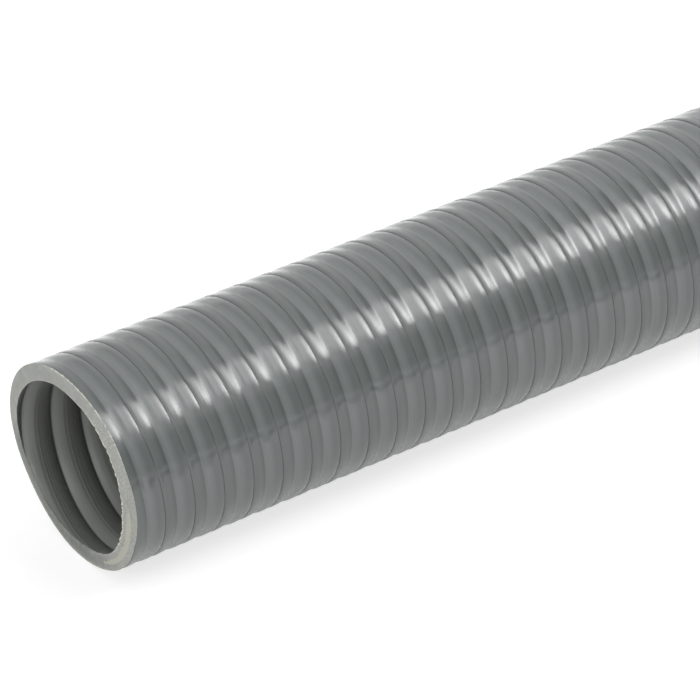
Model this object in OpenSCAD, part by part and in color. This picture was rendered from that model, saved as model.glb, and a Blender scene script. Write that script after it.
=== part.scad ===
// Sewer hose: a soft wound wall over a rigid right-handed spiral.
// It runs straight along +X from its near cut end, then lies in one flat ring, and ends in a short straight
// stretch.
// The origin is the centre of the bore at the near cut face, and +Z is up.

/* [Hose] */
// Bore, the diameter that a fitting goes into
bore_d = 76.2; // [70:0.1:84]
// Thickness of the whole wall
wall_t = 6.35; // [6.2:0.05:7.5]
// Distance along the hose from one turn of the spiral to the next
turn_pitch = 13.8; // [12.5:0.1:16]
// Depth of the seam valley between two turns
seam_depth = 0.75; // [0.3:0.05:1]
// Width of the seam valley
seam_w = 3; // [1.5:0.1:4]
// Where the seam meets the near cut face, in shares of a turn
seam_start = 0.609; // [0:0.001:1]

/* [Rigid spiral] */
// Width of the rod along the hose
rod_w = 2.8; // [2:0.1:3.6]
// Thickness of the rod through the wall
rod_h = 2.3; // [1.5:0.1:2.6]
// Distance from the seam to the middle of the rod
rod_offset = 10.6; // [8:0.1:10.6]
// Thickness of the inner wall, between the bore and the rod
inner_wall_t = 1.8; // [1.5:0.1:2]
// Clearance between the rod and its channel
rod_gap = 0.15; // [0.1:0.01:0.25]

/* [Lengths] */
// Turns in the straight stretch at the near end
straight_turns = 42; // [38:1:46]
// Turns in the ring
ring_turns = 149; // [80:1:154]
// Turns in the straight stretch at the far end
end_turns = 7; // [7:1:9]

/* [Ring] */
// Diameter of the ring at the middle of the hose
ring_d = 889; // [840:1:1100]

/* [Hidden] */

// Flats round a straight stretch and round the ring. One of them faces down, and all of them touch the true
// circle.
straight_flats = 12;
ring_flats = 8;
// Chords of the bore along the ring
ring_chords = 30;
// Least distance between two rows of points at a cut face
least_step = 0.2;
round_fn = 96;

bore_r = bore_d / 2;
outer_r = bore_r + wall_t;
split_r = bore_r + inner_wall_t;
ring_r = ring_d / 2;
straight_l = straight_turns * turn_pitch;
ring_l = ring_turns * turn_pitch;
end_l = end_turns * turn_pitch;
ring_angle = ring_l / ring_r * 180 / PI;

// Profiles along one turn, each a list of a place in the turn, from 0 to 1, and the radius there.
// The outer wall has a valley at the seam, and one broad crown between two seams.
seam_half = seam_w / turn_pitch / 2;
crown_profile = [[0, outer_r - seam_depth], [seam_half, outer_r], [1 - seam_half, outer_r]];
rib_profile = [[0, outer_r - seam_depth], [0.5, outer_r]];

// The rod is a little narrower on its outer side, and so is its channel.
rod_middle = rod_offset / turn_pitch;
rod_half = rod_w / turn_pitch / 2;
rod_half_outside = 0.8 * rod_half;
rod_slack = rod_gap / turn_pitch;
rod_low_r = split_r + rod_gap;
rod_high_r = rod_low_r + rod_h;
rod_profile = [[rod_middle - rod_half, rod_low_r],
               [rod_middle - rod_half_outside, rod_high_r],
               [rod_middle + rod_half_outside, rod_high_r],
               [rod_middle + rod_half, rod_low_r]];
channel_profile = [[rod_middle - rod_half - rod_slack, split_r],
                   [rod_middle - rod_half_outside - rod_slack, rod_high_r + rod_gap],
                   [rod_middle + rod_half_outside + rod_slack, rod_high_r + rod_gap],
                   [rod_middle + rod_half + rod_slack, split_r]];

// A point of the hose at a length s from the start of its stretch, an angle a round it from the side away
// from the ring's centre, and a radius r. A bend of 0 is a straight stretch, any other is the ring's radius.
function point_at(s, a, r, bend) =
    bend == 0 ? [s, r * cos(a), r * sin(a)]
              : let (turned = s / bend * 180 / PI, reach = bend + r * cos(a))
                [reach * sin(turned), reach * cos(turned) - bend, r * sin(a)];

// Angle of row j of n rows, and the corner radius that puts its flats at radius r
function row_angle(j, n) = (j + 0.5) * 360 / n;
function corner_r(r, n) = r / cos(180 / n);

// Radius of a profile at place u of the turn
function profile_r(profile, u, i = 0) =
    let (last = i + 1 == len(profile),
         a = profile[i],
         b = last ? [profile[0][0] + 1, profile[0][1]] : profile[i + 1],
         v = u < profile[0][0] ? u + 1 : u)
    last || v <= b[0] ? a[1] + (b[1] - a[1]) * (v - a[0]) / (b[0] - a[0])
                      : profile_r(profile, u, i + 1);

// Helical surface. Column g is one corner of the profile in one turn, followed round the hose. Row j holds
// the columns that lie between the two cut faces, with one more point on each cut face.
function column_s(profile, g, j, n) =
    let (corners = len(profile), turn = floor(g / corners))
    (turn + profile[g - turn * corners][0] + (j + 0.5) / n + seam_start) * turn_pitch;
function first_column(profile, j, n) =
    let (corners = len(profile), low = -3 * corners)
    min([for (g = [low : low + 5 * corners]) if (column_s(profile, g, j, n) > least_step) g]);
function last_column(profile, j, n, turns) =
    let (corners = len(profile), high = (turns + 1) * corners, stop = turns * turn_pitch - least_step)
    max([for (g = [high - 5 * corners : high]) if (column_s(profile, g, j, n) < stop) g]);
function cut_point(profile, j, n, turns, s, bend) =
    let (u = s / turn_pitch - (j + 0.5) / n - seam_start)
    point_at(s, row_angle(j, n), corner_r(profile_r(profile, u - floor(u)), n), bend);
function row_points(profile, j, n, turns, bend) =
    let (corners = len(profile), a = row_angle(j, n))
    concat([cut_point(profile, j, n, turns, 0, bend)],
           [for (g = [first_column(profile, j, n) : last_column(profile, j, n, turns)])
               point_at(column_s(profile, g, j, n), a,
                        corner_r(profile[g - floor(g / corners) * corners][1], n), bend)],
           [cut_point(profile, j, n, turns, turns * turn_pitch, bend)]);

function sum_before(list, i) = i == 0 ? 0 : list[i - 1] + sum_before(list, i - 1);

// A skin is [points, triangles, points on the near cut, points on the far cut], seen from outside the hose.
function helical_skin(profile, n, turns, bend) =
    let (corners = len(profile),
         firsts = [for (j = [0 : n - 1]) first_column(profile, j, n)],
         lasts = [for (j = [0 : n - 1]) last_column(profile, j, n, turns)],
         counts = [for (j = [0 : n - 1]) lasts[j] - firsts[j] + 3],
         offsets = [for (j = [0 : n - 1]) sum_before(counts, j)],
         point = function (j, g)
             let (row = j % n, column = j == n ? g + corners : g)
             offsets[row] + max(0, min(counts[row] - 1, column - firsts[row] + 1)))
    [[for (j = [0 : n - 1]) each row_points(profile, j, n, turns, bend)],
     [for (j = [0 : n - 1], g = [min(firsts[j], firsts[(j + 1) % n] - corners) - 1 : lasts[j] + corners])
         let (a = point(j, g), b = point(j, g + 1), c = point(j + 1, g + 1), d = point(j + 1, g))
         each [if (a != b && b != c && a != c) [a, b, c], if (a != c && c != d && a != d) [a, c, d]]],
     offsets,
     [for (j = [0 : n - 1]) offsets[j] + counts[j] - 1]];

// Plain surface of one radius, in chords along its length
function plain_skin(r, n, length, chords, bend) =
    [[for (j = [0 : n - 1], i = [0 : chords])
         point_at(length * i / chords, row_angle(j, n), corner_r(r, n), bend)],
     [for (j = [0 : n - 1], i = [0 : chords - 1])
         let (a = j * (chords + 1) + i, d = (j + 1) % n * (chords + 1) + i)
         each [[a, a + 1, d + 1], [a, d + 1, d]]],
     [for (j = [0 : n - 1]) j * (chords + 1)],
     [for (j = [0 : n - 1]) j * (chords + 1) + chords]];

function flipped(faces, offset) = [for (f = faces) [f[0] + offset, f[2] + offset, f[1] + offset]];

// Wall between two skins, closed by a flat face at each end
module wall(outside, inside) {
    n = len(outside[2]);
    offset = len(outside[0]);
    near_cut = [for (j = [0 : n - 1])
        let (k = (j + 1) % n,
             in_a = inside[2][j] + offset, in_b = inside[2][k] + offset,
             out_a = outside[2][j], out_b = outside[2][k])
        each [[in_a, out_a, out_b], [in_a, out_b, in_b]]];
    far_cut = [for (j = [0 : n - 1])
        let (k = (j + 1) % n,
             in_a = inside[3][j] + offset, in_b = inside[3][k] + offset,
             out_a = outside[3][j], out_b = outside[3][k])
        each [[in_a, out_b, out_a], [in_a, in_b, out_b]]];
    polyhedron(points = concat(outside[0], inside[0]),
               faces = concat(outside[1], flipped(inside[1], offset), near_cut, far_cut));
}

// Rod of the rigid spiral: one unbroken helix of sections, cut off square with the hose at both ends
function rod_s(corner, m, n) = (rod_profile[corner][0] + (m + 0.5) / n + seam_start) * turn_pitch;
function rod_point(corner, m, n, length) =
    point_at(max(0, min(length, rod_s(corner, m, n))), row_angle(m, n),
             corner_r(rod_profile[corner][1], n), 0);
function rod_sections(turns, n) =
    [for (m = [-3 * n : (turns + 1) * n])
        if (rod_s(2, m, n) > least_step && rod_s(1, m, n) < turns * turn_pitch - least_step) m];

module rod(turns) {
    n = straight_flats;
    length = turns * turn_pitch;
    sections = rod_sections(turns, n);
    sides = [for (i = [0 : len(sections) - 2], c = [0 : 3])
        let (a = 4 * i + c, b = 4 * i + (c + 1) % 4)
        each [[a, b + 4, a + 4], [a, b, b + 4]]];
    last = 4 * (len(sections) - 1);
    polyhedron(points = [for (m = sections, c = [0 : 3]) rod_point(c, m, n, length)],
               faces = concat(sides, [[3, 2, 1, 0], [last, last + 1, last + 2, last + 3]]));
}

// Centre line of the hose, one point a turn
ring_end = point_at(ring_l, 0, 0, ring_r) + [straight_l, 0, 0];
far_way = [cos(ring_angle), -sin(ring_angle), 0];
middle = concat([for (k = [0 : straight_turns]) [k * turn_pitch, 0, 0]],
                [for (k = [1 : ring_turns]) point_at(k * turn_pitch, 0, 0, ring_r) + [straight_l, 0, 0]],
                [for (k = [1 : end_turns]) ring_end + k * turn_pitch * far_way]);

// Least gaps, measured on points: the rod's corners in two turns side by side, and the hose where it comes
// round. Points of the hose count from two ring radii apart along it.
apart = ceil(2 * ring_r / turn_pitch);
rod_gap_to_itself = min([for (m = [0 : 3 * straight_flats], c = [0 : 3], d = [0 : 3])
    norm(rod_point(c, m + straight_flats, straight_flats, straight_l)
         - rod_point(d, m, straight_flats, straight_l))]);
hose_gap_to_itself = min([for (i = [0 : len(middle) - 1 - apart], j = [i + apart : len(middle) - 1])
    norm(middle[j] - middle[i])]) - 2 * corner_r(outer_r, ring_flats);
echo(rod_gap_to_itself = rod_gap_to_itself, hose_gap_to_itself = hose_gap_to_itself);

// Inner wall of a straight stretch: flats outside, and a true round bore
module bored_tube(length) {
    rotate([0, 90, 0]) difference() {
        rotate([0, 0, 180 / straight_flats])
            cylinder(h = length, r = corner_r(split_r, straight_flats), $fn = straight_flats);
        translate([0, 0, -1]) cylinder(h = length + 2, r = bore_r, $fn = round_fn);
    }
}

module straight_wall(turns) {
    wall(helical_skin(crown_profile, straight_flats, turns, 0),
         helical_skin(channel_profile, straight_flats, turns, 0));
}

// Frame of the far end, where the ring lets go
module at_ring_end() {
    translate(ring_end) rotate([0, 0, -ring_angle]) children();
}

module inner_wall() {
    color("dimgray") bored_tube(straight_l);
}

module outer_wall() {
    color("slategray") straight_wall(straight_turns);
}

module rigid_spiral() {
    color("wheat") rod(straight_turns);
}

module coil() {
    color("slategray") translate([straight_l, 0, 0])
        wall(helical_skin(rib_profile, ring_flats, ring_turns, ring_r),
             plain_skin(bore_r, ring_flats, ring_l, ring_chords, ring_r));
}

module inner_wall_far_end() {
    color("dimgray") at_ring_end() bored_tube(end_l);
}

module outer_wall_far_end() {
    color("slategray") at_ring_end() straight_wall(end_turns);
}

module rigid_spiral_far_end() {
    color("wheat") at_ring_end() rod(end_turns);
}

inner_wall();
outer_wall();
rigid_spiral();
coil();
inner_wall_far_end();
outer_wall_far_end();
rigid_spiral_far_end();
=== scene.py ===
"""A sewer hose with a rigid spiral in its wall, dressed around its CAD frame.

The near end is at the origin. The hose runs along +X, goes round three quarters of a flat ring, and ends in a short
straight stretch. Lengths in profiles are in millimetres, and everything that Blender is given is in metres.
"""

import math

import bpy
import numpy as np
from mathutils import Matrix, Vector


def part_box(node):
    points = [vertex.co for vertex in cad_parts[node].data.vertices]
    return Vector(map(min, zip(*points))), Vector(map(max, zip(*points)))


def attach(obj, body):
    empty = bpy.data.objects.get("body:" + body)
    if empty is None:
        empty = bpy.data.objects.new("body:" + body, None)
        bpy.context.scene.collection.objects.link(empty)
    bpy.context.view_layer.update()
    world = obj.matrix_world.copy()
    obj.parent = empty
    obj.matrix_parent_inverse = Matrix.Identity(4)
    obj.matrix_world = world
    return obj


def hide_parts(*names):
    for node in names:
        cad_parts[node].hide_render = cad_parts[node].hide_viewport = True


bl_info = {
    "name": "Sewer Hose",
    "version": (1, 0, 0),
    "blender": (4, 5, 0),
    "location": "3D View > Sidebar > Sewer Hose",
    "description": "Builds a waste hose with a rigid spiral, cut at both ends, on its stage",
    "category": "Add Mesh",
}

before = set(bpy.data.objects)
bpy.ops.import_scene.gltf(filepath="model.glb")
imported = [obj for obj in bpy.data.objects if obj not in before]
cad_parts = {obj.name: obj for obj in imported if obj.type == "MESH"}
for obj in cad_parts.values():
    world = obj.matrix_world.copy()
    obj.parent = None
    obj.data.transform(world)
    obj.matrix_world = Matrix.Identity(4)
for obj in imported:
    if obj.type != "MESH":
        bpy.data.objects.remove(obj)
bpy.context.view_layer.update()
BODY = "root"
MM = 0.001
FULL_TURN = 2 * math.pi
DEGREE = math.pi / 180

# Profiles along one turn of the winding, from one seam to the next: the place in the turn, and how far the surface
# stands from its radius.
OUTSIDE = (
    (0.000, -0.46), (0.010, -0.27), (0.030, -0.15), (0.055, -0.055), (0.085, -0.01), (0.115, 0.0),
    (0.155, -0.018), (0.215, -0.070), (0.275, -0.165), (0.335, -0.290), (0.390, -0.380), (0.435, -0.425),
    (0.475, -0.420), (0.515, -0.370), (0.560, -0.270), (0.610, -0.155), (0.670, -0.055), (0.735, -0.005),
    (0.805, -0.008), (0.855, -0.037), (0.905, -0.095), (0.955, -0.175), (0.990, -0.27),
)
OUTSIDE_MEDIUM = ((0.0, 0), (0.1, 0), (0.28, 0), (0.43, 0), (0.58, 0), (0.75, 0))
OUTSIDE_COARSE = ((0.0, 0), (0.1, 0), (0.43, 0), (0.72, 0))
BORE = (
    (0.00, -0.90), (0.07, -0.65), (0.13, -0.35), (0.19, 0.00), (0.235, 0.30), (0.275, 0.62), (0.305, 0.75),
    (0.335, 0.55), (0.39, -0.05), (0.47, -0.65), (0.55, -1.10), (0.625, -1.40), (0.66, -1.50), (0.685, -1.48),
    (0.71, -1.50), (0.77, -1.40), (0.86, -1.25),
)
BORE_COARSE = ((0.0, 0), (0.19, 0), (0.305, 0), (0.48, 0), (0.68, 0))
CHANNEL = ((0.797, 0.0), (0.809, 2.0), (0.985, 2.0), (0.997, 0.0))
GROOVE = ((0.797, 0.0), (0.811, -1.0), (0.983, -1.0), (0.997, 0.0))
PLAIN = ((0.0, 0.0),)

# How pale each turn of the outer wall is, by the place in the turn.
# Partly the wall's own tone, partly painted shade down into the soft valley and painted light up its far side.
BAND_COLOUR_AND_SHADE = (
    (0.0, 0.82), (0.10, 0.78), (0.24, 0.73), (0.33, 0.61), (0.385, 0.58), (0.410, 0.92), (0.54, 1.02), (0.62, 0.96),
    (0.69, 0.86), (0.77, 0.74), (1.0, 0.73),
)

# Width of the dark seam line, in shares of a turn.
SEAM_WIDTH = 0.036

# The near end is sawn off a little askew. By degrees round the hose, from the side away from the ring's centre
# over the top: where the outer edge of the cut lies along the hose, and how far its inner edge stands out past it.
NEAR_CUT = (
    (0, -2.7), (10, -2.9), (30, -2.95), (50, -2.75), (70, -2.0), (85, -1.3), (98, -0.7), (110, 0.1), (123, 0.9),
    (135, 1.4), (150, 1.65), (160, 2.1), (170, 2.35), (180, 2.4), (195, 2.15), (210, 2.0), (240, 2.05), (250, 1.6),
    (260, 1.1), (270, 0.6), (280, 0.15), (300, -0.5), (320, -1.1), (340, -2.0), (360, -2.7),
)
NEAR_LIP = (
    (0, 0.85), (18, 1.1), (30, 0.9), (45, 0.5), (80, 0.55), (100, 0.8), (115, 1.1), (130, 1.7), (150, 1.6),
    (163, 2.2), (180, 2.7), (200, 2.3), (240, 1.7), (265, 1.5), (286, 1.9), (303, 1.8), (321, 0.7), (340, 0.35),
    (350, 0.6), (360, 0.85),
)
FAR_CUT = ((0, -0.2), (90, 0.3), (180, 0.5), (270, -0.1), (360, -0.2))
FAR_LIP = ((0, 0.3), (120, 0.5), (240, 0.2), (360, 0.3))
# How rough and how burred the sawn faces are, and how much painted shade darkens them, point by point.
CUT_MARKS = ("torn", "burr", "rubbed")
# The power by which a sawn face runs out to its lip, how far the face and its back stand off the walls' ends, and how
# far its outer side lies inside the wall's.
LIP_CURVE = 1.3
CUT_AHEAD = 0.02 * MM
CUT_BACK = 0.005 * MM
CUT_SIDE = 0.01 * MM
# Edges that bend more than this are sharp.
SHARP_DEGREES = 52


class HoseSizes(bpy.types.PropertyGroup):
    turn_pitch: bpy.props.FloatProperty(
        name="Turn Pitch", description="Distance from one turn of the spiral to the next",
        default=0.01371, min=0.01, max=0.02, precision=5, unit="LENGTH")
    seam_start: bpy.props.FloatProperty(
        name="Seam Start", description="Where the seam meets the near cut face, in shares of a turn",
        default=0.609, min=0, max=1)
    straight_length: bpy.props.FloatProperty(
        name="Straight Length", description="Length of the straight stretch at the near end",
        default=0.5796, min=0.4, unit="LENGTH")
    ring_length: bpy.props.FloatProperty(
        name="Ring Length", description="Length of the hose in the ring", default=2.0562, min=1, unit="LENGTH")
    end_length: bpy.props.FloatProperty(
        name="End Length", description="Length of the straight stretch at the far end",
        default=0.0966, min=0.05, unit="LENGTH")
    ring_radius: bpy.props.FloatProperty(
        name="Ring Radius", description="Radius of the ring at the middle of the hose",
        default=0.4445, min=0.3, unit="LENGTH")
    outer_radius: bpy.props.FloatProperty(
        name="Outer Radius", description="Radius of the hose over its crowns",
        default=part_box("outer_wall")[1][2], min=0.03, unit="LENGTH")
    bore_radius: bpy.props.FloatProperty(
        name="Bore Radius", description="Radius that a fitting goes into",
        default=0.0381, min=0.02, unit="LENGTH")
    split_radius: bpy.props.FloatProperty(
        name="Split Radius", description="Radius where the inner wall meets the outer wall",
        default=0.0399, min=0.02, unit="LENGTH")
    rod_radius: bpy.props.FloatProperty(
        name="Rod Radius", description="Distance from the middle of the hose to the middle of the rod",
        default=0.0404, min=0.02, unit="LENGTH")
    rod_width: bpy.props.FloatProperty(
        name="Rod Width", description="Width of the rod along the hose",
        default=0.0024, min=0.001, max=0.0024, unit="LENGTH")
    rod_height: bpy.props.FloatProperty(
        name="Rod Height", description="Thickness of the rod through the wall",
        default=0.0026, min=0.001, max=0.0026, unit="LENGTH")
    rod_place: bpy.props.FloatProperty(
        name="Rod Place", description="Distance from the seam to the middle of the rod, in shares of a turn",
        default=0.897, min=0.88, max=0.90)


class HoseColours(bpy.types.PropertyGroup):
    outside: bpy.props.FloatVectorProperty(
        name="Outer Wall", description="Colour of the outer wall where it is palest", subtype="COLOR",
        default=(0.160, 0.173, 0.171), min=0, max=1)
    # Also the colour of the painted shade in the creases of the bore.
    seam: bpy.props.FloatVectorProperty(
        name="Seam", description="Colour in the bottom of the seam", subtype="COLOR",
        default=(0.060, 0.067, 0.067), min=0, max=1)
    inside: bpy.props.FloatVectorProperty(
        name="Inner Wall", description="Colour of the bore", subtype="COLOR",
        default=(0.168, 0.174, 0.162), min=0, max=1)
    cut: bpy.props.FloatVectorProperty(
        name="Cut Face", description="Colour of the sawn faces", subtype="COLOR",
        default=(0.262, 0.268, 0.252), min=0, max=1)
    cut_pale: bpy.props.FloatVectorProperty(
        name="Cut Specks", description="Colour of torn specks and burrs on the sawn faces", subtype="COLOR",
        default=(0.60, 0.59, 0.50), min=0, max=1)
    rod: bpy.props.FloatVectorProperty(
        name="Rod", description="Colour of the rigid rod", subtype="COLOR",
        default=(0.35, 0.345, 0.295), min=0, max=1)
    floor: bpy.props.FloatVectorProperty(
        name="Floor", description="Colour of the floor", subtype="COLOR",
        default=(0.80, 0.80, 0.80), min=0, max=1)


# Shader building


class Wire:
    """One output of a node. Arithmetic on it adds Math nodes."""

    def __init__(self, finish, socket):
        self.finish, self.socket = finish, socket

    def math(self, operation, *others):
        return self.finish.add("ShaderNodeMath", {"operation": operation}, [self, *others])[0]

    def __add__(self, other):
        return self.math("ADD", other)

    __radd__ = __add__

    def __mul__(self, other):
        return self.math("MULTIPLY", other)

    __rmul__ = __mul__

    def __sub__(self, other):
        return self.math("SUBTRACT", other)

    def __rsub__(self, other):
        return self.finish.add("ShaderNodeMath", {"operation": "SUBTRACT"}, [other, self])[0]

    def __truediv__(self, other):
        return self.math("DIVIDE", other)

    def __pow__(self, other):
        return self.math("POWER", other)

    def step(self, low, high):
        """0 below low, 1 above high, and smooth between them."""
        settings = {"interpolation_type": "SMOOTHSTEP"}
        return self.finish.add("ShaderNodeMapRange", settings, {"Value": self, "From Min": low, "From Max": high})[0]

    def bump_at(self, middle, width):
        """1 at middle, and 0 from half a width away."""
        return 1 - (self - middle).math("ABSOLUTE").step(width / 4, width / 2)

    def window(self, rise, fall):
        """1 between a rise and a fall, and 0 outside them, for an angle. Both are pairs of angles in degrees."""
        (a, b), (c, d) = ([angle * DEGREE for angle in pair] for pair in (rise, fall))
        return self.step(a, b) * (1 - self.step(c, d))


class Finish:
    """The nodes of one material or world."""

    def __init__(self, owner, kind="ShaderNodeOutputMaterial"):
        owner.use_nodes = True
        self.tree = owner.node_tree
        self.tree.nodes.clear()
        self.out = self.tree.nodes.new(kind)

    def add(self, kind, settings=None, inputs=()):
        """Adds a node: its settings first, then the values or wires of its sockets. Returns its outputs."""
        node = self.tree.nodes.new(kind)
        for name, value in (settings or {}).items():
            if name == "stops":
                ramp = node.color_ramp
                while len(ramp.elements) < len(value):
                    ramp.elements.new(1)
                for element, (place, colour) in zip(ramp.elements, value, strict=True):
                    element.position, element.color = place, (*colour, 1)
            else:
                setattr(node, name, value)
        pairs = inputs.items() if isinstance(inputs, dict) else enumerate(inputs)
        for name, value in pairs:
            socket = node.inputs[name]
            if isinstance(value, Wire):
                self.tree.links.new(value.socket, socket)
            elif socket.type == "RGBA" and len(value) == 3:
                socket.default_value = (*value, 1)
            else:
                socket.default_value = value
        return [Wire(self, o) for o in node.outputs]

    def vector(self, x, y, z=0.0):
        return self.add("ShaderNodeCombineXYZ", None, [x, y, z])[0]

    def mix(self, share, a, b):
        """Colour a where share is 0, and b where it is 1."""
        node_inputs = {0: share, 6: a, 7: b}
        return self.add("ShaderNodeMix", {"data_type": "RGBA"}, node_inputs)[2]

    def shade(self, colour, tone):
        """The colour times a grey tone."""
        inputs = {0: 1.0, 6: colour, 7: self.vector(tone, tone, tone)}
        return self.add("ShaderNodeMix", {"data_type": "RGBA", "blend_type": "MULTIPLY"}, inputs)[2]

    def bump(self, strength, height):
        return self.add("ShaderNodeBump", None, {"Strength": strength, "Distance": 1.0, "Height": height})[0]

    def noise(self, vector, scale, detail=2.0, roughness=0.5):
        inputs = {"Vector": vector, "Scale": scale, "Detail": detail, "Roughness": roughness}
        return self.add("ShaderNodeTexNoise", {"noise_dimensions": "3D"}, inputs)[0]

    def end(self, shader):
        self.tree.links.new(shader.socket, self.out.inputs["Surface"])

    def end_plastic(self, colour, roughness, bump, **more):
        inputs = {"Base Color": colour, "Roughness": roughness, "Normal": bump, **more}
        self.end(self.add("ShaderNodeBsdfPrincipled", None, inputs)[0])


def band_places(finish):
    """The place in the turn, from 0 at one seam to 1 at the next, and the turns run along the winding."""
    uv = finish.add("ShaderNodeUVMap", {"uv_map": "winding"})[0]
    parts = finish.add("ShaderNodeSeparateXYZ", None, [uv])
    return parts[0], parts[1]


def object_place(finish):
    return finish.add("ShaderNodeTexCoord")[3]


def wound_plastic(colours):
    """Glossy outer wall: two bands a turn with painted shade and light, a dark seam, and fine lines along the
    winding.
    """
    material = bpy.data.materials.new("wound_plastic")
    finish = Finish(material)
    place, run = band_places(finish)
    spot = object_place(finish)
    lines = finish.noise(finish.vector(place * 60, run * 3), 1.0, 3)
    broad_lines = finish.noise(finish.vector(place * 16, run * 1.3, 4.0), 1.0, 2)
    cloud = finish.noise(spot, 28.0, 2)
    # Painted shade and light: the band ramp darkens the slope into the soft valley and lightens the slope out of it.
    bands = [(at, tuple(shade * c for c in colours.outside)) for at, shade in BAND_COLOUR_AND_SHADE]
    colour = finish.add("ShaderNodeValToRGB", {"stops": bands}, [place])[0]
    tone = 0.88 + 0.14 * broad_lines + 0.10 * cloud
    colour = finish.shade(colour, tone)
    seam = place.bump_at(0.0, SEAM_WIDTH) + place.bump_at(1.0, SEAM_WIDTH)
    colour = finish.mix(seam * 0.36, colour, tuple(colours.seam))
    roughness = 0.025 + 0.06 * lines + 0.15 * broad_lines.step(0.36, 0.64)
    height = 0.00003 * lines + 0.00004 * broad_lines
    finish.end_plastic(colour, roughness, finish.bump(0.5, height), IOR=1.5)
    return material


def bore_plastic(colours):
    """Inner wall: duller, with fine ridges along the winding on the back of each turn, and painted shade in its
    creases.
    """
    material = bpy.data.materials.new("bore_plastic")
    finish = Finish(material)
    place, run = band_places(finish)
    spot = object_place(finish)
    lines = finish.noise(finish.vector(place * 30, run * 1.5), 1.0, 3, 0.65)
    cloud = finish.noise(spot, 40.0, 3)
    tone = 0.70 + 0.50 * lines + 0.1 * cloud
    colour = finish.shade(tuple(colours.inside), tone)
    # Painted shade: the creases of the bore are darkened with the seam colour.
    crease_shade = place.bump_at(0.30, 0.07)
    colour = finish.mix(crease_shade * 0.8, colour, tuple(colours.seam))
    ridged = place.step(0.73, 0.77) + (1 - place.step(0.22, 0.28))
    height = 0.0004 * lines * ridged + 0.00002 * cloud
    finish.end_plastic(colour, 0.42 + 0.12 * cloud, finish.bump(0.7, height))
    return material


def sawn_plastic(colours):
    """Sawn face: dull, mottled, with torn pale specks where the saw dragged, and painted shade on its lower side."""
    material = bpy.data.materials.new("sawn_plastic")
    finish = Finish(material)
    spot = object_place(finish)
    torn, burr, rubbed = (finish.add("ShaderNodeAttribute", {"attribute_name": label})[2] for label in CUT_MARKS)
    mottle = finish.noise(spot, 260.0, 4, 0.6)
    grain = finish.noise(spot, 1500.0, 3, 0.6)
    tone = 0.73 + 0.42 * mottle + 0.2 * grain * torn
    # Painted shade: the face darkens toward the bore's colour on its lower side, most towards its inner edge.
    colour = finish.mix(rubbed, tuple(colours.cut), tuple(0.95 * c for c in colours.inside))
    colour = finish.shade(colour, tone)
    specks = grain.step(0.54, 0.66) * torn * (0.4 - 0.25 * rubbed)
    burr = burr * finish.noise(spot, 850.0, 2).step(0.40, 0.56)
    colour = finish.mix((specks + burr).math("MINIMUM", 1.0), colour, tuple(colours.cut_pale))
    height = 0.00025 * grain * torn + 0.0001 * mottle
    finish.end_plastic(colour, 0.62 + 0.15 * grain, finish.bump(0.8, height))
    return material


def hard_plastic(colours):
    """Hard pale rod, dull all over."""
    material = bpy.data.materials.new("hard_plastic")
    finish = Finish(material)
    spot = object_place(finish)
    grain = finish.noise(spot, 900.0, 3)
    tone = 0.86 + 0.26 * grain
    colour = finish.shade(tuple(colours.rod), tone)
    finish.end_plastic(colour, 0.55 + 0.1 * grain, finish.bump(0.6, 0.0001 * grain))
    return material


def floor_finish(colours):
    """Pale floor that is white to the eye and in reflections, and keeps the shadow."""
    material = bpy.data.materials.new("pale_floor")
    finish = Finish(material)
    path = finish.add("ShaderNodeLightPath")
    seen = (path[0] + path[6]).math("MINIMUM", 1.0)
    colour = finish.mix(seen, tuple(colours.floor), tuple(0.45 * c for c in colours.floor))
    diffuse = finish.add("ShaderNodeBsdfDiffuse", None, {"Color": colour})[0]
    strength = seen * 0.72 + path[3] * (1 - seen) * 0.3
    glow = finish.add("ShaderNodeEmission", None, {"Color": (1, 1, 1), "Strength": strength})[0]
    finish.end(finish.add("ShaderNodeAddShader", None, [diffuse, glow])[0])
    return material


# Winding


def stands(profile, u):
    """How far a profile stands at places u of the turn, in metres."""
    places, heights = np.array(profile).T
    places = np.concatenate([[places[-1] - 1], places, [places[0] + 1]])
    heights = np.concatenate([[heights[-1]], heights, [heights[0]]])
    return np.interp(u % 1.0, places, heights) * MM


def by_degrees(table, around):
    degrees, values = np.array(table).T
    return np.interp((around * 360) % 360, degrees, values) * MM


def wobble(around, seed, waves, low=1):
    """Smooth noise round the hose, from -1 to 1 or so, with waves in each turn from low on."""
    random = np.random.default_rng(seed)
    total = np.zeros_like(around)
    for wave in range(low, low + waves):
        total += random.normal() * np.sin(FULL_TURN * (wave * around + random.random()))
    return total / math.sqrt(waves)


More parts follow.
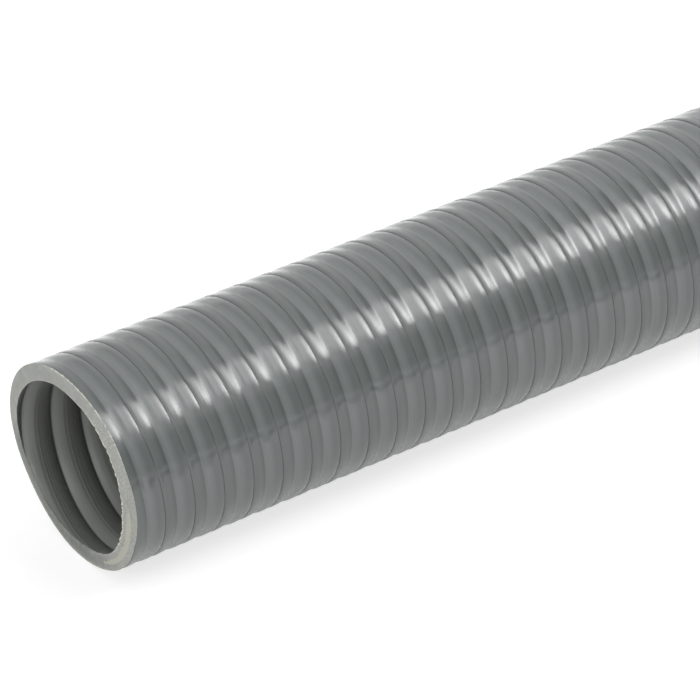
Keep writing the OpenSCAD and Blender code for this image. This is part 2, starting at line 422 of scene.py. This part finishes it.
class Hose:
    """Sizes, route and cut faces of the hose."""

    def __init__(self, sizes):
        self.pitch, self.seam_start = sizes.turn_pitch, sizes.seam_start
        self.straight_l, self.ring_l = sizes.straight_length, sizes.ring_length
        self.length = self.straight_l + self.ring_l + sizes.end_length
        self.ring_end = self.straight_l + self.ring_l
        self.ring_r = sizes.ring_radius
        self.outer_r, self.bore_r, self.split_r = sizes.outer_radius, sizes.bore_radius, sizes.split_radius

    def route(self, s, around, r):
        """Points at length s, at so many turns round from the side away from the ring's centre, and radius r."""
        s, around, r = np.broadcast_arrays(*(np.asarray(x, float) for x in (s, around, r)))
        a = around * FULL_TURN
        turned = np.clip(s - self.straight_l, 0, self.ring_l) / self.ring_r
        past = np.maximum(s - self.ring_end, 0)
        reach = self.ring_r + r * np.cos(a)
        x = np.minimum(s, self.straight_l) + reach * np.sin(turned) + past * np.cos(turned)
        y = reach * np.cos(turned) - self.ring_r - past * np.sin(turned)
        return np.stack([x, y, r * np.sin(a)], axis=-1)

    def place(self, s, around):
        """Turns of the winding at a point, whose fraction is the place in the turn."""
        return s / self.pitch - around - self.seam_start

    def outside(self, s, around):
        return self.outer_r + stands(OUTSIDE, self.place(s, around))

    def bore(self, s, around):
        return self.bore_r + stands(BORE, self.place(s, around))

    def near_end(self, around):
        return by_degrees(NEAR_CUT, around)

    def far_end(self, around):
        return self.length + by_degrees(FAR_CUT, around)

    def lip(self, around, near):
        """How far the inner edge of a cut stands out."""
        if near:
            return by_degrees(NEAR_LIP, around) + rough_side(around) * 0.16 * wobble(around, 3, 60, 20) * MM
        return by_degrees(FAR_LIP, around) + 0.04 * wobble(around, 5, 40, 20) * MM

    def cut(self, around, share, near):
        """Length at which the cut lies, at a share of the way from its outer edge to its inner edge."""
        out = self.lip(around, near) * share ** LIP_CURVE + CUT_AHEAD
        return self.near_end(around) - out if near else self.far_end(around) + out

    def cut_at(self, around, r, near):
        s = self.near_end(around) if near else self.far_end(around)
        outside, bore = self.outside(s, around), self.bore(s, around)
        return self.cut(around, np.clip((outside - r) / (outside - bore), 0, 1), near)


def rough_side(around):
    """1 where the saw tore the near cut, and less where it went through cleanly."""
    degrees = (180 - around * 360 + 180) % 360 - 180
    return np.interp(degrees, (-180, -150, -120, -60, -20, 55, 75, 110, 140, 180),
                     (0.25, 0.5, 0.8, 0.9, 1.0, 1.0, 0.45, 0.2, 0.15, 0.25))


class Shell:
    """Points, faces and winding coordinates of a mesh that is wound up stretch by stretch."""

    def __init__(self, hose, rows):
        self.hose, self.rows = hose, rows
        self.points, self.faces, self.places, self.slots = [], [], [], []

    def add_points(self, points):
        first = len(self.points)
        self.points.extend(np.asarray(points).reshape(-1, 3).tolist())
        return list(range(first, len(self.points)))

    def add_face(self, corners, places, slot=0, inward=False):
        kept = [i for i in range(len(corners)) if corners[i] != corners[i - 1]]
        if len({corners[i] for i in kept}) > 2:
            if inward:
                kept.reverse()
            self.faces.append([corners[i] for i in kept])
            self.places.extend(places[i] for i in kept)
            self.slots.append(slot)

    def wind(self, columns, profile, radius, start, stop, weld=None, inward=False):
        """A skin from length start to stop. A column follows one place of the turn round the hose, and a row is one
        angle. weld is the ring of points that the skin starts from. Returns the rings that it starts and ends in."""
        hose, rows = self.hose, self.rows
        spots = np.array([c[0] for c in columns])
        corners = len(spots)
        around = np.arange(rows + 1)[:, None] / rows
        start, stop = (end(around) if callable(end) else np.full_like(around, end) for end in (start, stop))
        low = math.floor(start.min() / hose.pitch - hose.seam_start) - 2
        high = math.ceil(stop.max() / hose.pitch - hose.seam_start) + 2
        g = np.arange((high - low + 1) * corners)
        turn = low + g // corners
        s = np.clip((turn + spots[g % corners] + around + hose.seam_start) * hose.pitch, start, stop)
        u = hose.place(s, around)
        xyz = hose.route(s, around, radius + stands(profile, u))
        index = np.zeros((rows + 1, len(g)), int)
        first, last = [], []
        for j in range(rows):
            inside = np.nonzero((s[j] > start[j] + 1e-8) & (s[j] < stop[j] - 1e-8))[0]
            a, b = inside[0], inside[-1] + 1
            lead = self.add_points(xyz[j, a - 1])[0] if weld is None else weld[j]
            index[j, :a] = lead
            index[j, a:b] = self.add_points(xyz[j, a:b])
            index[j, b:] = self.add_points(xyz[j, b])[0]
            first.append(lead)
            last.append(int(index[j, b]))
        span = len(g) - corners
        index[rows, :span] = index[0, corners:]
        index, u, turn, around = index.tolist(), u.tolist(), turn.tolist(), around[:, 0].tolist()
        for j in range(rows):
            here, there, u_here, u_there = index[j], index[j + 1], u[j], u[j + 1]
            for c in range(span - 1):
                if here[c] == here[c + 1] and there[c] == there[c + 1]:
                    continue
                k = turn[c]
                self.add_face((here[c], here[c + 1], there[c + 1], there[c]),
                              ((u_here[c] - k, k + around[j]), (u_here[c + 1] - k, k + around[j]),
                               (u_there[c + 1] - k, k + around[j + 1]), (u_there[c] - k, k + around[j + 1])),
                              inward=not inward)
        return first, last

    def bridge(self, outer, inner, flip):
        """A flat ring of faces between two rings of points."""
        for j in range(self.rows):
            k = (j + 1) % self.rows
            self.add_face((outer[j], outer[k], inner[k], inner[j]), ((0.5, 0.0),) * 4, inward=flip)

    def mesh(self, name, materials):
        mesh = bpy.data.meshes.new(name)
        mesh.from_pydata(self.points, [], self.faces)
        layer = mesh.uv_layers.new(name="winding")
        layer.data.foreach_set("uv", np.array(self.places, np.float32).ravel())
        mesh.polygons.foreach_set("material_index", np.array(self.slots, np.int32))
        mesh.polygons.foreach_set("use_smooth", np.ones(len(self.faces), bool))
        mesh.set_sharp_from_angle(angle=math.radians(SHARP_DEGREES))
        for material in materials:
            mesh.materials.append(material)
        mesh.validate()
        piece = bpy.data.objects.new(name, mesh)
        bpy.context.scene.collection.objects.link(piece)
        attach(piece, BODY)
        return piece


def made(name):
    """A material or piece that an earlier operator made."""
    found = bpy.data.objects.get(name) or bpy.data.materials.get(name)
    if found is None:
        raise RuntimeError(f"{name} is not made yet")
    return found


# Pieces

# Angles round a wall and round a sawn face, and how many turns from the near end are wound finely.
ROWS = 60
CUT_ROWS = 720
FINE_TURNS = 23
FINE_BORE_TURNS = 8
WALL_GAP = 0.05 * MM

# The rod's rings in a turn, its rings in a turn near the sawn end and how many turns have those, the corners of its
# section, and the power that rounds them.
ROD_STEPS = 48
ROD_FINE_STEPS = 240
ROD_FINE_TURNS = 2
ROD_CORNERS = 12
ROD_SQUARENESS = 0.7
# How far its sawn ends stand out, how far its near stretch ends before the ring, and how much of a turn its far
# stretch starts after the ring, where the channel has its full depth.
ROD_PROUD = 0.1 * MM
ROD_STOP = 0.1 * MM
ROD_START = 0.22


class SEWERHOSE_OT_finishes(bpy.types.Operator):
    """Make the plastics of the hose"""

    bl_idname = "sewerhose.finishes"
    bl_label = "Finishes"

    def execute(self, context):
        colours = context.scene.hose_colours
        for make in (wound_plastic, bore_plastic, sawn_plastic, hard_plastic):
            make(colours)
        return {"FINISHED"}


class SEWERHOSE_OT_inner_wall(bpy.types.Operator):
    """Wind the inner wall, with its creased bore"""

    bl_idname = "sewerhose.inner_wall"
    bl_label = "Inner Wall"

    def execute(self, context):
        hose = Hose(context.scene.hose_sizes)
        shell = Shell(hose, ROWS)
        straight, end = hose.straight_l, hose.ring_end
        fine = FINE_BORE_TURNS * hose.pitch
        first, last = shell.wind(BORE, BORE, hose.bore_r, hose.near_end, fine, inward=True)
        last = shell.wind(BORE_COARSE, BORE, hose.bore_r, fine, straight, last, inward=True)[1]
        last = shell.wind(PLAIN, PLAIN, hose.bore_r, straight, end, last, inward=True)[1]
        last = shell.wind(BORE, BORE, hose.bore_r, end, hose.far_end, last, inward=True)[1]
        back_r = hose.split_r - WALL_GAP
        back_first, back = shell.wind(GROOVE, GROOVE, back_r, hose.near_end, straight)
        back = shell.wind(PLAIN, PLAIN, back_r, straight, end, back)[1]
        back = shell.wind(GROOVE, GROOVE, back_r, end, hose.far_end, back)[1]
        shell.bridge(back_first, first, True)
        shell.bridge(back, last, False)
        piece = shell.mesh("hose_inner_wall", [made("bore_plastic")])
        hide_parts("inner_wall", "inner_wall_far_end")
        return {"FINISHED"}


class SEWERHOSE_OT_rigid_spiral(bpy.types.Operator):
    """Wind the rigid rod at both ends"""

    bl_idname = "sewerhose.rigid_spiral"
    bl_label = "Rigid Spiral"

    def execute(self, context):
        sizes = context.scene.hose_sizes
        hose = Hose(sizes)
        for name, near, node in (("hose_rod_near", True, "rigid_spiral"),
                                 ("hose_rod_far", False, "rigid_spiral_far_end")):
            start, stop = (0, hose.straight_l) if near else (hose.ring_end, hose.length)
            piece = self.rod(name, hose, sizes, start, stop, near)
            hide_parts(node)
        return {"FINISHED"}

    @staticmethod
    def rod(name, hose, sizes, start, stop, near):
        """A rod with rounded corners, whose end is sawn off with the wall."""
        half_w, half_h, proud = sizes.rod_width / 2, sizes.rod_height / 2, -ROD_PROUD if near else ROD_PROUD
        lean = np.arange(ROD_CORNERS) * FULL_TURN / ROD_CORNERS
        wide = np.sign(np.cos(lean)) * np.abs(np.cos(lean)) ** ROD_SQUARENESS * half_w
        thick = np.sign(np.sin(lean)) * np.abs(np.sin(lean)) ** ROD_SQUARENESS * half_h
        aside = math.pi - lean if near else np.where(lean > math.pi, lean - FULL_TURN, lean)
        low, high = ((end / hose.pitch - sizes.rod_place - hose.seam_start) + past for end, past in
                     ((start, -1), (stop, 1)))
        steps_in = np.concatenate([np.arange(ROD_FINE_TURNS * ROD_FINE_STEPS) / ROD_FINE_STEPS,
                                   np.arange(ROD_FINE_TURNS, high - low, 1 / ROD_STEPS)])
        shell = Shell(hose, 0)
        rings = []
        for around in (low + steps_in if near else high - steps_in[::-1]):
            middle = (around + sizes.rod_place + hose.seam_start) * hose.pitch
            sawn = hose.cut_at(around, sizes.rod_radius, near) + proud
            gone = middle + wide < sawn if near else middle + wide > sawn
            off = np.clip(abs(sawn - middle) / half_w, 0, 0.995)
            chord = half_h * (1 - off ** (2 / ROD_SQUARENESS)) ** (ROD_SQUARENESS / 2)
            spread = aside * gone / max(np.abs(aside * gone).max(), 1e-9)
            r = sizes.rod_radius + np.where(gone, chord * spread, thick)
            sawn = hose.cut_at(around, r, near) + proud
            low_end, high_end = (sawn, stop - ROD_STOP) if near else (start + ROD_START * hose.pitch, sawn)
            s = middle + wide
            if np.any((s > low_end) & (s < high_end)):
                rings.append(shell.add_points(hose.route(np.clip(s, low_end, high_end), around, r)))
        for a, b in zip(rings, rings[1:]):
            for c in range(ROD_CORNERS):
                d = (c + 1) % ROD_CORNERS
                shell.add_face((a[c], b[c], b[d], a[d]), ((0.0, 0.0),) * 4, inward=True)
        shell.add_face(tuple(rings[0]), ((0.0, 0.0),) * ROD_CORNERS, inward=True)
        shell.add_face(tuple(rings[-1]), ((0.0, 0.0),) * ROD_CORNERS)
        return shell.mesh(name, [made("hard_plastic")])


class SEWERHOSE_OT_cut_faces(bpy.types.Operator):
    """Saw the two end faces, with their lips, burrs and torn edges"""

    bl_idname = "sewerhose.cut_faces"
    bl_label = "Cut Faces"

    def execute(self, context):
        hose = Hose(context.scene.hose_sizes)
        for name, near in (("hose_cut_near", True), ("hose_cut_far", False)):
            piece = self.face(name, hose, near)
        return {"FINISHED"}

    @staticmethod
    def face(name, hose, near):
        """A thin ring on the end of the walls, from the outer edge over the sawn face to the torn inner edge."""
        rows = CUT_ROWS
        around = np.arange(rows) / rows
        end = hose.near_end(around) if near else hose.far_end(around)
        back = end - CUT_BACK if near else end + CUT_BACK
        rough = rough_side(around) if near else np.full(rows, 0.4)
        outside, bore = hose.outside(end, around) - CUT_SIDE, hose.bore(end, around)
        shares = np.array((0.0, 0.03, 0.06, 0.15, 0.27, 0.4, 0.5, 0.6, 0.7, 0.8, 0.9, 0.96, 1.0))
        jag = rough * (0.10 * wobble(around, 11, 70, 110) + 0.10 * wobble(around, 12, 60, 40)
                       + 0.14 * wobble(around, 13, 30, 12)) * MM
        none = 0 * rough
        # The lower side of the near face: its inner edge is rounded over, its outer edge gets pale specks, and it
        # gets painted shade.
        rounded_shaded_side = np.interp(around * 360, (225, 262, 345, 360), (0, 1, 1, 0)) if near else none
        jag = jag * np.interp(around * 360, (185, 203, 225, 262), (1, 0.4, 0.3, 0.15)) if near else jag
        rounded = 0.7 * rounded_shaded_side * hose.lip(around, near)
        lengths = [back]
        loops = [hose.route(back, around, outside)]
        marks = [(rough, none, none)]
        pale = np.interp((180 - around * 360) % 360, (30, 45, 100, 115), (0, 1, 1, 0)) if near else none
        frayed = rough * np.interp(around * 360, (198, 222), (1, 0.12)) if near else rough
        for i, share in enumerate(shares):
            s = hose.cut(around, share, near) + rounded * (1 - math.sqrt(1 - max(0, 2 * share - 1) ** 2))
            torn = rough * 0.05 * wobble(around, 20 + i, 90, 40) * MM if 0 < share < 1 else none
            r = outside + (bore + jag - outside) * share
            if share == 0:
                r = outside - 0.05 * rough * np.abs(wobble(around, 9, 60, 20)) * MM
            lengths.append(s + torn)
            loops.append(hose.route(s + torn, around, r))
            edge = (pale + 0.5 * rounded_shaded_side) * (share < 0.1) + 0.9 * frayed * (share > 0.92)
            # The third mark is painted shade, from 0.3 at the outer edge to full from the middle of the face inward.
            marks.append((rough, edge, rounded_shaded_side * np.interp(share, (0, 0.5), (0.3, 1))))
        tip = hose.cut(around, 1.0, near) + rounded
        for share in (0.75, 0.4, 0.0):
            s = back + (tip - back) * share
            lengths.append(s)
            loops.append(hose.route(s, around, hose.bore(s, around) + jag * share ** 1.5))
            marks.append((rough * share, none, none))
        middle = (outside + bore) / 2
        lengths.append(back)
        loops.append(hose.route(back, around, middle))
        marks.append((rough, none, none))
        shell = Shell(hose, rows)
        rings = [shell.add_points(loop) for loop in loops]
        face_loops = len(shares) + 1
        turns = np.floor(hose.place(end, around))
        runs = (turns + around, turns + around + 1 / rows)
        spots = [(np.stack([hose.place(s, around) - turns, runs[0]], 1).tolist(),
                  np.stack([hose.place(np.roll(s, -1), around + 1 / rows) - turns, runs[1]], 1).tolist())
                 for s in lengths]
        for i, ring in enumerate(rings):
            n = (i + 1) % len(rings)
            after, slot = rings[n], 0 if i < face_loops or i >= face_loops + 2 else 1
            for j in range(rows):
                k = (j + 1) % rows
                shell.add_face((ring[j], ring[k], after[k], after[j]),
                               (spots[i][0][j], spots[i][1][j], spots[n][1][j], spots[n][0][j]), slot, inward=near)
        piece = shell.mesh(name, [made("sawn_plastic"), made("bore_plastic")])
        for label, column in zip(CUT_MARKS, zip(*marks, strict=True), strict=True):
            values = np.concatenate(column)
            piece.data.attributes.new(label, "FLOAT", "POINT").data.foreach_set("value", values.astype(np.float32))
        return piece


class SEWERHOSE_OT_outer_wall(bpy.types.Operator):
    bl_idname = "sewerhose.outer_wall"
    bl_label = "Outer Wall"

    def execute(self, context):
        hose = Hose(context.scene.hose_sizes)
        shell = Shell(hose, ROWS)
        straight, end = hose.straight_l, hose.ring_end
        fine = FINE_TURNS * hose.pitch
        first, last = shell.wind(OUTSIDE, OUTSIDE, hose.outer_r, hose.near_end, fine)
        last = shell.wind(OUTSIDE_MEDIUM, OUTSIDE, hose.outer_r, fine, straight, last)[1]
        last = shell.wind(OUTSIDE_COARSE, OUTSIDE, hose.outer_r, straight, end, last)[1]
        last = shell.wind(OUTSIDE_MEDIUM, OUTSIDE, hose.outer_r, end, hose.far_end, last)[1]
        core_r = hose.split_r + WALL_GAP
        core_first, core = shell.wind(CHANNEL, CHANNEL, core_r, hose.near_end, straight, inward=True)
        core = shell.wind(PLAIN, PLAIN, core_r, straight, end, core, inward=True)[1]
        core = shell.wind(CHANNEL, CHANNEL, core_r, end, hose.far_end, core, inward=True)[1]
        shell.bridge(first, core_first, True)
        shell.bridge(last, core, False)
        piece = shell.mesh("hose_outer_wall", [made("wound_plastic")])
        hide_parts("outer_wall", "coil", "outer_wall_far_end")
        middle = hose.route(np.linspace(0, hose.length, 200), 0, 0)
        return {"FINISHED"}


# Stage

CAMERA_PLACE = (-0.59785, -1.07797, 0.95287)
CAMERA_AHEAD = (0.452878, 0.669038, -0.589313)
CAMERA_LENS = 202.62
FLOOR_REACH = 60
FLOOR_GAP = 0.1 * MM

# The dark bay and the two dark booms that the hose mirrors: where each starts and ends, in degrees from the horizon
# toward -Y up over the top.
BAY = ((5, 7), (36, 46))
BOOM = ((84, 88), (112, 125))
REAR_BOOM = ((98, 108), (158, 172))


def lamp(name, size, brightness, place, aim):
    """A soft lamp in the scene, whose brightness is how many times white it looks."""
    data = bpy.data.lights.new(name, "AREA")
    data.shape, data.size, data.size_y = "RECTANGLE", *size
    data.energy = brightness * math.pi * size[0] * size[1]
    light = bpy.data.objects.new(name, data)
    light.location = place
    light.rotation_euler = (Vector(aim) - Vector(place)).to_track_quat("-Z", "Y").to_euler()
    light.visible_camera = False
    bpy.context.scene.collection.objects.link(light)
    return light


class SEWERHOSE_OT_stage(bpy.types.Operator):
    """Set the camera, the floor, the lamps and the surroundings"""

    bl_idname = "sewerhose.stage"
    bl_label = "Stage"

    def execute(self, context):
        scene = context.scene
        data = bpy.data.cameras.new("camera")
        data.sensor_width, data.lens = 36, CAMERA_LENS
        data.clip_start, data.clip_end = 0.05, 100
        camera = bpy.data.objects.new("camera", data)
        camera.location = CAMERA_PLACE
        camera.rotation_euler = Vector(CAMERA_AHEAD).to_track_quat("-Z", "Y").to_euler()
        scene.collection.objects.link(camera)
        scene.camera = camera
        scene.view_settings.view_transform = "Standard"

        mesh = bpy.data.meshes.new("floor")
        reach, level = FLOOR_REACH, -scene.hose_sizes.outer_radius - FLOOR_GAP
        mesh.from_pydata([(-reach, -reach, level), (reach, -reach, level), (reach, reach, level),
                          (-reach, reach, level)], [], [(0, 1, 2, 3)])
        mesh.materials.append(floor_finish(scene.hose_colours))
        floor = bpy.data.objects.new("floor", mesh)
        scene.collection.objects.link(floor)

        self.softbox()
        lamp("fill_lamp", (1.0, 1.0), 4.2, (-1.33, -0.52, 0.76), (0, 0, 0))
        self.surroundings(scene)
        return {"FINISHED"}

    @staticmethod
    def softbox():
        """A long softbox over the hose, brightest in its lower middle."""
        wide, high, away = 2.0, 1.2, 1.5
        light = lamp("softbox", (wide, high), 1.0, (1.30, -0.576, 1.384), (1.30, 0, 0))
        finish = Finish(light.data, "ShaderNodeOutputLight")
        spot = finish.add("ShaderNodeSeparateXYZ", None, [finish.add("ShaderNodeTexCoord")[2]])
        across, up = (spot[0] - 0.5) * (wide / away), (spot[1] - 0.5) * (high / away)
        cloth = 3.5 * (1 - up.math("ABSOLUTE").step(0.12, 0.37))
        off_x = (across + 0.35 * up + 0.013) / 0.30
        off_y = (up + 0.04) / 0.44
        tube = 13.0 * (1 - (off_x ** 2 + off_y ** 2).math("SQRT").step(0.20, 1.1))
        tube = tube * (0.9 - 0.42 * up.step(-0.12, 0.11)) * up.step(-0.35, -0.21)
        finish.end(finish.add("ShaderNodeEmission", None, {"Color": (1, 1, 1), "Strength": cloth + tube})[0])

    @staticmethod
    def surroundings(scene):
        """White to the eye, a studio with a dark bay in reflections, and soft grey as light."""
        world = bpy.data.worlds.new("surroundings")
        scene.world = world
        finish = Finish(world, "ShaderNodeOutputWorld")
        path = finish.add("ShaderNodeLightPath")
        way = finish.add("ShaderNodeSeparateXYZ", None, [finish.add("ShaderNodeTexCoord")[0]])
        lift = way[2].math("ARCTAN2", way[1] * -1)
        bay = lift.window(*BAY)
        boom = lift.window(*BOOM) * way[0].step(0.52, 0.66)
        rear = lift.window(*REAR_BOOM) * (1 - way[0].step(0.40, 0.52))
        mirrored = 1 - 0.95 * bay - 0.9 * boom - 0.5 * rear
        plain = (path[0] + path[6]).math("MINIMUM", 1.0)
        soft = 0.25 + 0.78 * lift.step(60 * DEGREE, 115 * DEGREE)
        strength = soft * (1 - plain - path[3]) + plain + path[3] * mirrored
        finish.end(finish.add("ShaderNodeBackground", None, {"Color": (1, 1, 1), "Strength": strength})[0])


class SEWERHOSE_PT_panel(bpy.types.Panel):
    """The hose's steps, sizes and colours"""

    bl_idname = "SEWERHOSE_PT_panel"
    bl_label = "Sewer Hose"
    bl_space_type = "VIEW_3D"
    bl_region_type = "UI"
    bl_category = "Sewer Hose"

    def draw(self, context):
        layout = self.layout
        for step in STEPS:
            layout.operator(step.bl_idname)
        for group in (context.scene.hose_sizes, context.scene.hose_colours):
            box = layout.box()
            for name in group.__annotations__:
                box.prop(group, name)


STEPS = (SEWERHOSE_OT_stage, SEWERHOSE_OT_finishes, SEWERHOSE_OT_inner_wall, SEWERHOSE_OT_rigid_spiral,
         SEWERHOSE_OT_cut_faces, SEWERHOSE_OT_outer_wall)
CLASSES = (HoseSizes, HoseColours, *STEPS, SEWERHOSE_PT_panel)


def register():
    for cls in CLASSES:
        bpy.utils.register_class(cls)
    bpy.types.Scene.hose_sizes = bpy.props.PointerProperty(type=HoseSizes)
    bpy.types.Scene.hose_colours = bpy.props.PointerProperty(type=HoseColours)


def unregister():
    del bpy.types.Scene.hose_colours, bpy.types.Scene.hose_sizes
    for cls in reversed(CLASSES):
        bpy.utils.unregister_class(cls)


def main():
    register()
    for step in STEPS:
        area, name = step.bl_idname.split(".")
        getattr(getattr(bpy.ops, area), name)()


if __name__ == "__main__":
    main()
